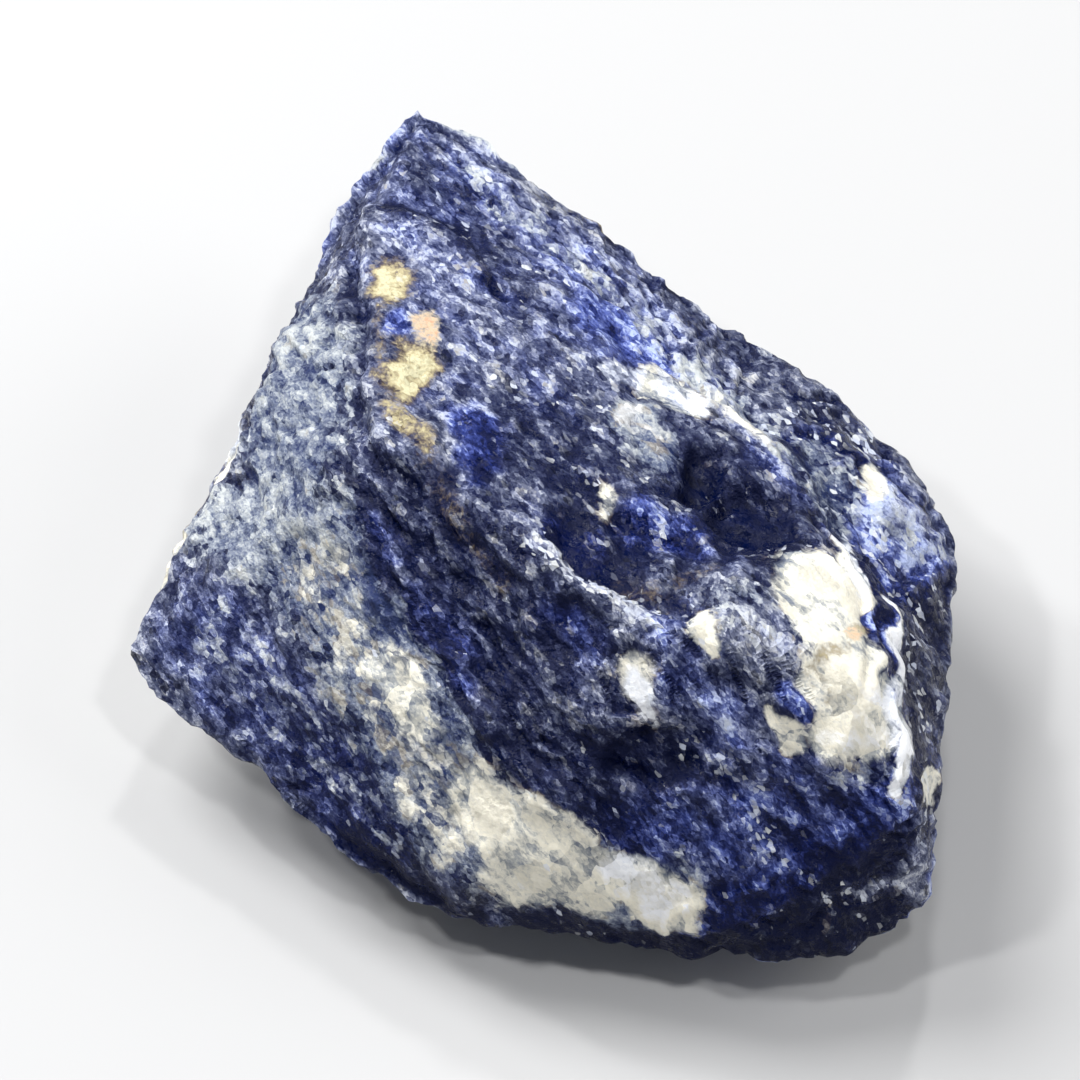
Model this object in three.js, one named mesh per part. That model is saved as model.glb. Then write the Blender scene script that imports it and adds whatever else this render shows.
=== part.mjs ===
// Rough sodalite: one broken lump of rock that rests on a small flat of its own underside.
// Millimetres. x runs across, y runs back from the steep front, z is up, and z = 0 is the flat.

import * as THREE from 'three';
import { mergeVertices } from 'three/addons/utils/BufferGeometryUtils.js';

// Squares along each edge of the cube that is wrapped round the lump.
const SQUARES = 28;

// Half the lump's breadth, depth and height, and a point well inside it.
const HALF_SIZE = [24, 27.5, 12.3];
const HEART = [0, -1, 12];

// How sharply two broken faces meet. The greater, the less the edge between them is worn.
const EDGE_SHARPNESS = 60;

// Where the faces of the break meet.
const CORNERS = {
  tip: [-7.8, 28, 17],
  tipLeft: [-11, 24, 15],
  tipFoot: [-6, 24, 11],
  crestHead: [-10.5, 19, 18.5],
  crestBend: [-10, -3, 24],
  crestFoot: [-0.5, -11, 24.5],
  ledgeEnd: [8, -16.5, 24],
  knob: [14.5, -17.5, 22.5],
  leftShoulder: [-17, 6, 17],
  leftCorner: [-25.3, -7, 8.5],
  leftFoot: [-15, -17, 7.5],
  frontFoot: [-5.5, -23.4, 7.2],
  bevelHead: [-8, -11, 20.5],
  bevelMiddle: [-4.5, -18, 17.5],
  bevelFoot: [2, -23, 15.5],
  frontEdge: [9.5, -26.7, 9],
  rim: [9.5, 12, 16],
  ridge: [13.5, 4.5, 17.5],
  ridgeFoot: [18.5, -7.5, 19],
  rightBrow: [21, -19, 18.5],
  rightCorner: [21.5, -23, 15.5],
  rightSide: [23.5, -13, 11],
  rightFoot: [22.5, -23, 7],
  lobeBack: [18, 9, 12],
  lobeOut: [23, 3.5, 10.5],
  lobeEnd: [23.5, 0.5, 10],
  lobeFoot: [18, 4, 5],
  underFront: [-4, -23.8, 4.5],
  underRight: [13.5, -26.8, 4.5],
  underCorner: [20.5, -24.5, 5],
  underSide: [20.5, -5, 4.5],
  underBack: [9, 13, 4.5],
  underShoulder: [-17, 7, 7],
  underLeft: [-20, -7, 5],
  restFront: [2, -12, -0.6],
  restCorner: [10.5, -9, -0.6],
  restRight: [11, -1, -0.6],
  restBack: [-1, 8, -0.6],
  restLeft: [-10.5, -1.5, -0.6],
};

// The show side is the half that faces a viewer standing in front and looking down by this angle.
// A place on it is [across, up], in mm on a plane square to that look through the origin.
const LOOK_DOWN = THREE.MathUtils.degToRad(52);
const SHOW_UP = Math.sin(LOOK_DOWN);
const SHOW_OUT = Math.cos(LOOK_DOWN);

// The show side's forms fade in as the surface turns to the viewer, from edge-on 0 to square-on 1.
const SHOW_FADE = [0.05, 0.3];

// The glinting ledge that crosses the show side, the brow over its trough, the raised flake, and the
// crest where the top plate ends over the left flank.
const LEDGE = [[-0.9, 7], [1.4, 4.7], [3.5, 3.8], [5.3, 2.1], [8.7, 0.8]];
const BROW = [[3, 8.8], [6.1, 8.3], [8.7, 7.3], [10.3, 4.7]];
const FLAKE = [[-11, 26.3], [-7.2, 25.5], [-4.9, 24], [-3.9, 20.8], [-3.2, 16.5]];
const CREST = [[-10.4, 26.3], [-10.9, 23], [-10, 19.8], [-10.3, 14.6], [-9.8, 12.6], [-2, 5.5], [2, 0.3]];
const LEDGE_STEP = { lip: 0.5, lipReach: 3, drop: 1.1, dropReach: 3.2, onLeft: true, ends: [0.25, 0.25] };
const BROW_STEP = { lip: 0.35, lipReach: 2.5, drop: 0.7, dropReach: 2.5, onLeft: false, ends: [0.3, 0.3] };
const FLAKE_STEP = { lip: 0.3, lipReach: 8, drop: 0.3, dropReach: 2.5, onLeft: true, ends: [0.01, 0.4] };
const CREST_STEP = { lip: 0.25, lipReach: 2, drop: 0.2, dropReach: 1, onLeft: false, ends: [0.3, 0.3] };

// The groove between the back ridge and the outer lobe, and the hollow run of the front bevel.
const GROOVE_FORM = { depth: 1.2, reach: 2, floor: 0, ends: [0.3, 0.01] };
const HOLLOW_FORM = { depth: 0.7, reach: 3, floor: 0.4, ends: [0.2, 0.2] };
const LOBE_GROOVE = [[9.8, 19.5], [11.7, 16.9], [15.2, 12.6], [18.6, 8.1], [22.2, 4.4]];
const BEVEL_HOLLOW = [[-9.2, 10.7], [-6.5, 5.5], [-2.6, -1], [2, -6.2], [7.8, -12.1]];

// Pits: place, half sizes and depth.
const PITS = [
  { at: [9.1, 10.7], half: [2.6, 2.8], depth: 1 },
  { at: [12.1, 8.1], half: [3.6, 3.2], depth: 1 },
  { at: [6.1, -5.7], half: [4.2, 3.4], depth: 1.1 },
];
const KNOB = { at: [14.4, -1], across: 7, crown: 4.8, stretch: 1.15, height: 1 };

// How wide the steep side of a ledge is.
const STEP_WIDTH = 2.6;

// The rock's own unevenness: how far it sways, and how high its chips stand. The rock splits more
// readily along its layers than across them, so the chips are flattened along one direction.
const SWAY = { size: 10, reach: 0.8, seed: 3 };
const WOBBLE = { size: 2.3, reach: 0.55, seed: 500 };
const CHIP_SWAY = { size: 5, reach: 1.2, seed: 900 };
const BROAD_CHIPS = { size: 9, height: 0.6, seed: 11, softness: 0.12 };
const SMALL_CHIPS = { size: 4, height: 0.2, seed: 77, softness: 0.12 };
const HIDDEN_CHIPS = { size: 13, height: 0.9, seed: 200, softness: 0.1 };
const ACROSS_LAYERS = new THREE.Vector3(0.77, 0.5, 0.39).normalize().toArray();
const LAYER_SQUEEZE = 1.9;

const BLUE_GREY = 0x3f4f86;

const dot = (a, b) => a[0] * b[0] + a[1] * b[1] + a[2] * b[2];
const plus = (a, b, share = 1) => a.map((value, i) => value + b[i] * share);
const scaled = (a, share) => a.map((value) => value * share);
const clamp = THREE.MathUtils.clamp;

function ease(from, to, value) {
  const t = clamp((value - from) / (to - from), 0, 1);
  return t * t * (3 - 2 * t);
}

// Every plane through three corners that has all the other corners behind it is a broken face.
function brokenFaces(corners) {
  const points = corners.map((corner) => new THREE.Vector3(...plus(corner, HEART, -1)));
  const faces = [];
  for (let i = 0; i < points.length; i += 1) {
    for (let j = i + 1; j < points.length; j += 1) {
      for (let k = j + 1; k < points.length; k += 1) {
        const plane = new THREE.Plane().setFromCoplanarPoints(points[i], points[j], points[k]);
        if (plane.constant > 0) plane.negate();
        const known = faces.some((face) => face.normal.dot(plane.normal) > 0.9999);
        if (!known && points.every((point) => plane.distanceToPoint(point) <= 1e-6)) {
          faces.push(plane);
        }
      }
    }
  }
  return faces.map((face) => ({ normal: face.normal.toArray(), reach: -face.constant }));
}

const FACES = brokenFaces(Object.values(CORNERS));

// The block along one direction from its heart. The faces' shares of the direction are summed to a
// high power, so the nearest face decides, and where two are as near the edge is slightly rounded.
function blockPoint(direction) {
  let sum = 0;
  let outward = [0, 0, 0];
  for (const { normal, reach } of FACES) {
    const share = Math.max(dot(direction, normal) / reach, 1e-9) ** EDGE_SHARPNESS;
    sum += share;
    outward = plus(outward, normal, share / reach);
  }
  return {
    point: plus(HEART, direction, sum ** (-1 / EDGE_SHARPNESS)),
    outward: scaled(outward, 1 / Math.hypot(...outward)),
  };
}

// A fixed random number from 0 to 1 for each whole-number place.
function scatter(x, y, z, seed) {
  let n = Math.imul(x, 374761393) + Math.imul(y, 668265263);
  n = (n + Math.imul(z, 1274126177) + Math.imul(seed, 974634777)) | 0;
  n = Math.imul(n ^ (n >>> 13), 1103515245);
  n = Math.imul(n ^ (n >>> 15), 668265263);
  return ((n ^ (n >>> 16)) >>> 0) / 4294967296;
}

// Smooth random height from -1 to 1, blended between the corners of cells of one size.
function waves(point, size, seed) {
  const cell = point.map((value) => Math.floor(value / size));
  const blend = point.map((value, i) => {
    const f = value / size - cell[i];
    return f * f * f * (f * (f * 6 - 15) + 10);
  });
  let height = 0;
  for (let corner = 0; corner < 8; corner += 1) {
    const step = [corner & 1, (corner >> 1) & 1, corner >> 2];
    const share = step.reduce((all, on, i) => all * (on ? blend[i] : 1 - blend[i]), 1);
    const [x, y, z] = plus(cell, step);
    height += share * (scatter(x, y, z, seed) * 2 - 1);
  }
  return height;
}

// Waves on waves, each half as wide and half as high as the last.
function roughness(point, size, seed, layers) {
  let height = 0;
  let whole = 0;
  for (let layer = 0; layer < layers; layer += 1) {
    height += waves(point, size / 2 ** layer, seed + layer * 17) / 2 ** layer;
    whole += 1 / 2 ** layer;
  }
  return height / whole;
}

function drift(point, { size, reach, seed }, layers) {
  return [0, 1, 2].map((axis) => reach * roughness(point, size, seed + axis * 100, layers));
}

// Flat chips: each cell has a lean and a height of its own, and neighbours meet in steep steps.
function chips(point, { size, height, seed, softness }) {
  const place = scaled(point, 1 / size);
  const cell = place.map(Math.floor);
  const found = [];
  for (let n = 0; n < 27; n += 1) {
    const near = plus(cell, [Math.floor(n / 9) - 1, (Math.floor(n / 3) % 3) - 1, (n % 3) - 1]);
    const draws = [0, 1, 2, 3, 4, 5].map((draw) => scatter(...near, seed + draw));
    const away = plus(plus(place, near, -1), draws.slice(0, 3), -1);
    const lean = draws.slice(3).map((draw) => draw * 2 - 1);
    const lift = ((draws[3] * 7.13 + draws[4] * 3.71) % 1) * 2 - 1;
    found.push({ distance: dot(away, away), lift: 0.55 * lift + 0.9 * dot(away, lean) });
  }
  const nearest = Math.min(...found.map(({ distance }) => distance));
  let lift = 0;
  let whole = 0;
  for (const chip of found) {
    const share = Math.exp((nearest - chip.distance) / softness);
    lift += share * chip.lift;
    whole += share;
  }
  return (height * lift) / whole;
}

// Distance from a place on the show side to a drawn line, whether it lies on the line's left, and
// how far along the line its nearest point is, from 0 to 1.
function nearestOnLine([x, y], line) {
  let best = { distance: Infinity, left: false, along: 0 };
  for (let i = 0; i + 1 < line.length; i += 1) {
    const [ax, ay] = line[i];
    const [ex, ey] = [line[i + 1][0] - ax, line[i + 1][1] - ay];
    const t = clamp(((x - ax) * ex + (y - ay) * ey) / (ex * ex + ey * ey), 0, 1);
    const [dx, dy] = [x - ax - t * ex, y - ay - t * ey];
    const distance = Math.hypot(dx, dy);
    if (distance < best.distance) {
      best = { distance, left: ex * dy - ey * dx > 0, along: (i + t) / (line.length - 1) };
    }
  }
  return best;
}

// A form along a line fades out towards its two ends.
function fadedEnds(along, [start, end]) {
  return ease(0, start, along) * ease(1, 1 - end, along);
}

// A step along a line: the lip stands proud on one side, and the drop lies within a step's width on
// the other. Both fade out over their reach.
function stepHeight(place, line, { lip, lipReach, drop, dropReach, onLeft, ends }) {
  const { distance, left, along } = nearestOnLine(place, line);
  const fade = fadedEnds(along, ends);
  if (left !== onLeft) return fade * lip * ease(lipReach, 0, distance);
  const down = ease(0, STEP_WIDTH, distance);
  return fade * (lip - (lip + drop * ease(STEP_WIDTH + dropReach, STEP_WIDTH, distance)) * down);
}

function furrowHeight(place, line, { depth, reach, floor, ends }) {
  const { distance, along } = nearestOnLine(place, line);
  return -depth * ease(reach, floor, distance) * fadedEnds(along, ends);
}

// The forms of the show side, as a height along the surface's outward direction.
function showForms(point) {
  const drifted = drift(point, WOBBLE, 2);
  const up = point[1] * SHOW_UP + point[2] * SHOW_OUT;
  const place = [point[0] + drifted[0], up + drifted[1]];
  let height = stepHeight(place, LEDGE, LEDGE_STEP);
  height += stepHeight(place, BROW, BROW_STEP);
  height += stepHeight(place, FLAKE, FLAKE_STEP);
  height += stepHeight(place, CREST, CREST_STEP);
  height += furrowHeight(place, LOBE_GROOVE, GROOVE_FORM);
  height += furrowHeight(place, BEVEL_HOLLOW, HOLLOW_FORM);
  for (const { at, half, depth } of PITS) {
    const away = Math.hypot((place[0] - at[0]) / half[0], (place[1] - at[1]) / half[1]);
    height -= depth * ease(0, 0.5, Math.max(1 - away * away, 0) ** 2);
  }
  const fromKnob = Math.hypot(place[0] - KNOB.at[0], (place[1] - KNOB.at[1]) / KNOB.stretch);
  return height + KNOB.height * ease(KNOB.across, KNOB.crown, fromKnob);
}

function stonePoint(direction) {
  const { point, outward } = blockPoint(direction);
  const facing = ease(...SHOW_FADE, outward[2] * SHOW_UP - outward[1] * SHOW_OUT);
  const swayed = plus(point, drift(point, CHIP_SWAY, 2));
  const layered = plus(swayed, ACROSS_LAYERS, dot(swayed, ACROSS_LAYERS) * (LAYER_SQUEEZE - 1));
  let height = chips(layered, BROAD_CHIPS) + chips(layered, SMALL_CHIPS);
  height += facing * showForms(point) + (1 - facing) * chips(point, HIDDEN_CHIPS);
  const [x, y, z] = plus(plus(point, drift(point, SWAY, 3)), outward, height);
  return [x, y, Math.max(z, 0)];
}

// Each square is two triangles. It is creased along whichever diagonal stands further from the heart,
// so that the creases run along the lump's edges.
function creaseAlongEdges(geometry) {
  const places = geometry.attributes.position;
  const order = geometry.index;
  const heart = new THREE.Vector3(...HEART);
  const corner = (i) => new THREE.Vector3().fromBufferAttribute(places, i);
  const creaseReach = (i, j) => corner(i).add(corner(j)).divideScalar(2).distanceTo(heart);
  for (let i = 0; i < order.count; i += 6) {
    const [a, b, c, d] = [order.getX(i), order.getX(i + 1), order.getX(i + 4), order.getX(i + 2)];
    if (creaseReach(a, c) > creaseReach(b, d)) {
      [a, b, c, a, c, d].forEach((vertex, k) => order.setX(i + k, vertex));
    }
  }
}

// A cube's squares, spread evenly by the tangent, become directions from the heart of the lump.
function stoneGeometry() {
  const box = new THREE.BoxGeometry(2, 2, 2, SQUARES, SQUARES, SQUARES);
  box.deleteAttribute('normal');
  box.deleteAttribute('uv');
  const geometry = mergeVertices(box);
  const places = geometry.attributes.position;
  for (let i = 0; i < places.count; i += 1) {
    const cube = [places.getX(i), places.getY(i), places.getZ(i)];
    const round = cube.map((value) => Math.tan((value * Math.PI) / 4));
    const stretched = scaled(round, 1 / Math.hypot(...round)).map((value, k) => value * HALF_SIZE[k]);
    places.setXYZ(i, ...stonePoint(scaled(stretched, 1 / Math.hypot(...stretched))));
  }
  creaseAlongEdges(geometry);
  geometry.computeVertexNormals();
  return geometry;
}

const stone = new THREE.Mesh(
  stoneGeometry(),
  new THREE.MeshStandardMaterial({ color: BLUE_GREY, roughness: 0.55, metalness: 0 }),
);
stone.name = 'sodalite_stone';

const part = new THREE.Group();
part.add(stone);

export default part;
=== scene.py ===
from itertools import combinations

import bpy
import numpy as np
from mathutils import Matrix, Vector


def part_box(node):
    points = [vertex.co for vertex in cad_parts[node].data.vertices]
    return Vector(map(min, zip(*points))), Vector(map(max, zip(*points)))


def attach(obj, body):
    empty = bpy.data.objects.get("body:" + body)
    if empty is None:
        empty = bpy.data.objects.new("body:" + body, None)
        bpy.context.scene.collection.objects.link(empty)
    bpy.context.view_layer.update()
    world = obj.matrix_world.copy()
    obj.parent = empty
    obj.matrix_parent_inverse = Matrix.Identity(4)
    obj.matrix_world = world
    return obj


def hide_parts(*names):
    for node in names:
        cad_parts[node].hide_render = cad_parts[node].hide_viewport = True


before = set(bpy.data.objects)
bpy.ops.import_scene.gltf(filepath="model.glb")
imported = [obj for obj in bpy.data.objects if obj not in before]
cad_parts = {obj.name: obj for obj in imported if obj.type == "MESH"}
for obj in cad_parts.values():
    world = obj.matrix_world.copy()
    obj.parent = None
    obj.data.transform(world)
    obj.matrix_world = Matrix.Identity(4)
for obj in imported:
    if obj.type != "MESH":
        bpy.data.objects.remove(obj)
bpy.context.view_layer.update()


# ---------------------------------------------------------------------------------------------
# The lump. A hand-sized piece of sodalite rock, knocked off a larger block and left rough, so
# every side is a face of the break. It is one solid that rests on a small flat underneath.
# Sizes are in millimetres: x across, y back from the steep front, z up from the flat.
# ---------------------------------------------------------------------------------------------

MM = 0.001
SQUARES = 127  # along each edge of the cube that is wrapped round the lump
HALF_SIZE = np.array([24.0, 27.5, 12.3])
HEART = np.array([0.0, -1.0, 12.0])
EDGE_SHARPNESS = 160
CREASE = np.radians(28)  # grains that meet at more than this keep a sharp edge

# Where the faces of the break meet.
CORNERS = {
    "tip": (-7.8, 28, 17),
    "tip left": (-11, 24, 15),
    "tip foot": (-6, 24, 11),
    "crest head": (-10.5, 19, 18.5),
    "crest bend": (-10, -3, 24),
    "crest foot": (-0.5, -11, 24.5),
    "ledge end": (8, -16.5, 24),
    "knob": (14.5, -17.5, 22.5),
    "left shoulder": (-17, 6, 17),
    "left corner": (-25.3, -7, 8.5),
    "left foot": (-15, -17, 7.5),
    "front foot": (-5.5, -23.4, 7.2),
    "bevel head": (-8, -11, 20.5),
    "bevel middle": (-4.5, -18, 17.5),
    "bevel foot": (2, -23, 15.5),
    "front edge": (9.5, -26.7, 9),
    "rim": (9.5, 12, 16),
    "ridge": (13.5, 4.5, 17.5),
    "ridge foot": (18.5, -7.5, 19),
    "right brow": (21, -19, 18.5),
    "right corner": (21.5, -23, 15.5),
    "right side": (23.5, -13, 11),
    "right foot": (22.5, -23, 7),
    "lobe back": (18, 9, 12),
    "lobe out": (23, 3.5, 10.5),
    "lobe end": (23.5, 0.5, 10),
    "lobe foot": (18, 4, 5),
    "under front": (-4, -23.8, 4.5),
    "under right": (13.5, -26.8, 4.5),
    "under corner": (20.5, -24.5, 5),
    "under side": (20.5, -5, 4.5),
    "under back": (9, 13, 4.5),
    "under shoulder": (-17, 7, 7),
    "under left": (-20, -7, 5),
    "rest front": (2, -12, -0.6),
    "rest corner": (10.5, -9, -0.6),
    "rest right": (11, -1, -0.6),
    "rest back": (-1, 8, -0.6),
    "rest left": (-10.5, -1.5, -0.6),
}


def broken_faces(corners):
    """Planes through three corners with every other corner behind them: outward normals, reaches."""
    a, b, c = corners[np.array(list(combinations(range(len(corners)), 3))).T]
    normal = np.cross(b - a, c - a)
    normal /= np.linalg.norm(normal, axis=1, keepdims=True)
    reach = (normal * a).sum(axis=1)
    normal *= np.sign(reach)[:, None]
    reach = np.abs(reach)
    outermost = (normal @ corners.T <= reach[:, None] + 1e-6).all(axis=1)
    _, first = np.unique(normal[outermost].round(4), axis=0, return_index=True)
    return normal[outermost][first], reach[outermost][first]


def block(direction):
    """The block along a direction from its heart: distance = 1 / (sum over the faces of
    (direction . normal / reach) ^ sharpness) ^ (1 / sharpness). Also its outward direction."""
    normal, reach = broken_faces(np.array(list(CORNERS.values())) - HEART)
    closeness = direction @ (normal / reach[:, None]).T
    closest = closeness.max(axis=1, keepdims=True)
    share = np.maximum(closeness / closest, 0) ** EDGE_SHARPNESS
    outward = share @ (normal / reach[:, None])
    outward /= np.linalg.norm(outward, axis=1, keepdims=True)
    distance = share.sum(axis=1, keepdims=True) ** (-1 / EDGE_SHARPNESS) / closest
    return HEART + direction * distance, outward


def wrapped_cube(squares):
    """A cube's six square grids as one list of whole-number places, and its squares' corners.

    Places on a face are (row, column) from 0 to squares. The edges' places are shared."""
    row, column = np.meshgrid(np.arange(squares + 1), np.arange(squares + 1), indexing="ij")
    low, high = np.zeros_like(row), np.full_like(row, squares)
    grids = [(high, row, column), (low, column, row), (column, high, row),
             (row, low, column), (row, column, high), (column, row, low)]
    places = np.stack([np.stack(grid, axis=-1) for grid in grids])
    places, number = np.unique(places.reshape(-1, 3), axis=0, return_inverse=True)
    number = number.reshape(6, squares + 1, squares + 1)
    corners = [number[:, :-1, :-1], number[:, 1:, :-1], number[:, 1:, 1:], number[:, :-1, 1:]]
    return places, np.stack(corners, axis=-1).reshape(-1, 4)


def ease(start, end, value):
    """0 at start, 1 at end, and level at both: 3 t^2 - 2 t^3."""
    t = np.clip((value - start) / (end - start), 0, 1)
    return t * t * (3 - 2 * t)


# The rock's unevenness comes from random numbers fixed to places in it.
WORD = 0xFFFFFFFF


def scatter(cell, seed):
    """A random number from 0 to 1 for each whole-number place: its coordinates times three large
    numbers, summed, with the bits folded over and multiplied twice."""
    x, y, z = cell[..., 0], cell[..., 1], cell[..., 2]
    n = (x * 374761393 + y * 668265263 + z * 1274126177 + seed * 974634777) & WORD
    n = n.astype(np.uint64)
    n = ((n ^ (n >> np.uint64(13))) * np.uint64(1103515245)) & np.uint64(WORD)
    n = ((n ^ (n >> np.uint64(15))) * np.uint64(668265263)) & np.uint64(WORD)
    return (n ^ (n >> np.uint64(16))).astype(float) / 2**32


def waves(point, size, seed):
    """Smooth random height from -1 to 1: the corners of cells of one size, blended by
    6 f^5 - 15 f^4 + 10 f^3."""
    cell = np.floor(point / size).astype(np.int64)
    f = point / size - cell
    blend = f * f * f * (f * (f * 6 - 15) + 10)
    height = 0
    for corner in np.ndindex(2, 2, 2):
        share = np.where(corner, blend, 1 - blend).prod(axis=-1)
        height = height + share * (scatter(cell + np.array(corner), seed) * 2 - 1)
    return height


def roughness(point, size, seed, layers):
    """Waves on waves, each half as wide and half as high as the last, -1 to 1."""
    heights = [waves(point, size / 2**k, seed + 17 * k) / 2**k for k in range(layers)]
    return sum(heights) / sum(0.5**k for k in range(layers))


def drift(point, size, reach, seed, layers):
    """A smooth random shift of up to reach along each axis."""
    return reach * np.stack([roughness(point, size, seed + axis * 100, layers) for axis in range(3)], -1)


def chips(point, size, height, seed, softness=0.12):
    """Flat chips: each cell has a site, a lean and a lift, and a place takes the plane of its
    nearest site, blended with the others by exp((nearest - distance^2) / softness)."""
    home = np.floor(point / size).astype(np.int64)
    distance, lift = [], []
    for step in np.ndindex(3, 3, 3):
        cell = home + np.array(step) - 1
        draw = [scatter(cell, seed + k) for k in range(6)]
        away = point / size - cell - np.stack(draw[:3], axis=-1)
        lean = np.stack(draw[3:], axis=-1) * 2 - 1
        raised = (draw[3] * 7.13 + draw[4] * 3.71) % 1 * 2 - 1
        distance.append((away * away).sum(axis=-1))
        lift.append(0.55 * raised + 0.9 * (away * lean).sum(axis=-1))
    share = np.exp((np.min(distance, axis=0) - distance) / softness)
    return height * (share * lift).sum(axis=0) / share.sum(axis=0)


# The rock splits more readily along its layers than across them.
ACROSS_LAYERS = np.array([0.77, 0.5, 0.39]) / np.linalg.norm([0.77, 0.5, 0.39])


def squeezed(point, squeeze):
    """The point moved across the layers by (squeeze - 1) times its place across them."""
    return point + (point @ ACROSS_LAYERS * (squeeze - 1))[:, None] * ACROSS_LAYERS


# The show side is the half that faces a viewer standing in front and looking down by this
# angle. A place on it is (across, up) on a plane square to that look through the origin.
LOOK_DOWN = np.radians(52)
SHOW_UP = np.array([0, np.sin(LOOK_DOWN), np.cos(LOOK_DOWN)])
SHOW_OUT = np.array([0, -np.cos(LOOK_DOWN), np.sin(LOOK_DOWN)])

# The glinting ledge that crosses it, the brow over the ledge's trough, the raised flake, the
# groove between the back ridge and the outer lobe, the hollow run of the front bevel, and the
# crest between the left flank and the top.
LEDGE = [(-0.9, 7), (1.4, 4.7), (3.5, 3.8), (5.3, 2.1), (8.7, 0.8)]
BROW = [(3, 8.8), (6.1, 8.3), (8.7, 7.3), (10.3, 4.7)]
FLAKE = [(-11, 26.3), (-7.2, 25.5), (-4.9, 24), (-3.9, 20.8), (-3.2, 16.5)]
LOBE_GROOVE = [(9.8, 19.5), (11.7, 16.9), (15.2, 12.6), (18.6, 8.1), (22.2, 4.4)]
BEVEL_HOLLOW = [(-9.2, 10.7), (-6.5, 5.5), (-2.6, -1), (2, -6.2), (7.8, -12.1)]
CREST = [(-10.4, 26.3), (-10.9, 23), (-10, 19.8), (-10.3, 14.6), (-9.8, 12.6), (-2, 5.5), (2, 0.3)]
STEP_WIDTH = 0.8  # of the drop beside a ledge

# Edges of thin layers that lie side by side: along the back rim, the outer lobe, the right wall
# and the foot of the front.
RIM_LAYERS = [(-6.9, 31), (-1, 26.7), (3.5, 23), (8, 19), (11.3, 17.2)]
LOBE_LAYERS = [(11.3, 17.6), (18, 15), (22.5, 10)]
WALL_LAYERS = [(17.5, 8), (19, 4), (20.3, 0), (21, -5), (20.7, -9)]
FOOT_LAYERS = [(8.5, -16), (13, -14.6), (17.5, -12), (21, -8.6)]

# The pale slivers that stand up along the right wall.
SLIVERS = [(19.8, 4), (20.3, 1.5), (20.7, -1.8), (20.9, -3), (21.1, -5.5), (20.9, -8)]

# Pits: place, half sizes, depth. The knob: place, flat top's and foot's radius, height, and how
# much longer it is than wide.
PITS = [
    ((9.1, 10.7), (1.6, 1.9), 1.2),
    ((12.1, 8.1), (3.1, 2.5), 1.0),
    ((6.1, -5.7), (3.9, 2.7), 1.1),
]
KNOB = ((14.4, -1), 4.8, 7, 1.0, 1.15)


def nearest_on_line(place, line):
    """Distance to a line of straight stretches, whether the place is on its left, and how far
    along the line its nearest point is, from 0 to 1."""
    distance = np.full(len(place), np.inf)
    left = np.zeros(len(place), bool)
    along = np.zeros(len(place))
    for k, (start, end) in enumerate(zip(line, line[1:])):
        run = np.subtract(end, start)
        t = np.clip((place - start) @ run / (run @ run), 0, 1)
        away = place - start - t[:, None] * run
        closer = np.hypot(*away.T) < distance
        distance = np.where(closer, np.hypot(*away.T), distance)
        left = np.where(closer, run[0] * away[:, 1] - run[1] * away[:, 0] > 0, left)
        along = np.where(closer, (k + t) / (len(line) - 1), along)
    return distance, left, along


def stepped(place, line, lip, lip_reach, drop, drop_reach, on_left, ends):
    """A step along a line. One side stands proud by lip, fading over lip_reach. The other drops
    by lip + drop within a step's width and comes back over drop_reach. It fades at both ends."""
    distance, left, along = nearest_on_line(place, line)
    down = ease(0, STEP_WIDTH, distance)
    low = lip - (lip + drop * ease(STEP_WIDTH + drop_reach, STEP_WIDTH, distance)) * down
    fade = ease(0, ends[0], along) * ease(1, 1 - ends[1], along)
    return fade * np.where(left == on_left, low, lip * ease(lip_reach, 0, distance))


def furrowed(place, line, depth, reach, floor, ends):
    """A furrow along a line: full depth within floor of it, none beyond reach or at the ends."""
    distance, _, along = nearest_on_line(place, line)
    fade = ease(0, ends[0], along) * ease(1, 1 - ends[1], along)
    return -depth * ease(reach, floor, distance) * fade


def layered_edges(place, line, depth, spacing, reach):
    """Parallel grooves beside a line: (1 - cos(2 pi distance / spacing)) / 2, fading by reach."""
    distance, _, _ = nearest_on_line(place, line)
    groove = 0.5 - 0.5 * np.cos(2 * np.pi * distance / spacing)
    return -depth * groove * ease(reach, 0.5 * reach, distance)


def show_forms(place):
    """Height of the show side outward from the block: its ledges, layers, furrows, slivers, pits
    and knob, added up."""
    height = stepped(place, LEDGE, 0.5, 2.5, 1.4, 3.2, True, (0.15, 0.15))
    height += stepped(place, BROW, 0.35, 2, 0.9, 2.5, False, (0.25, 0.3))
    height += stepped(place, FLAKE, 0.3, 8, 0.3, 2.5, True, (0.01, 0.4))
    height += stepped(place, CREST, 0.25, 2, 0.3, 1, False, (0.05, 0.3))
    height += layered_edges(place, RIM_LAYERS, 0.25, 0.9, 3.0)
    height += layered_edges(place, LOBE_LAYERS, 0.25, 1.0, 4.5)
    height += layered_edges(place, WALL_LAYERS, 0.35, 1.1, 2.4)
    height += layered_edges(place, FOOT_LAYERS, 0.2, 1.4, 3.6)
    height += furrowed(place, LOBE_GROOVE, 1.2, 2, 0, (0.3, 0.01))
    height += furrowed(place, BEVEL_HOLLOW, 0.7, 3, 0.4, (0.2, 0.2))
    height -= furrowed(place, SLIVERS, 0.45, 0.9, 0.2, (0.1, 0.1))
    for at, half, depth in PITS:
        away = np.hypot(*((place - at) / half).T)
        height -= depth * ease(0, 0.5, np.maximum(1 - away * away, 0) ** 2)
    at, crown, foot, knob_height, length = KNOB
    return height + knob_height * ease(foot, crown, np.hypot(*((place - at) / (1, length)).T))


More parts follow.
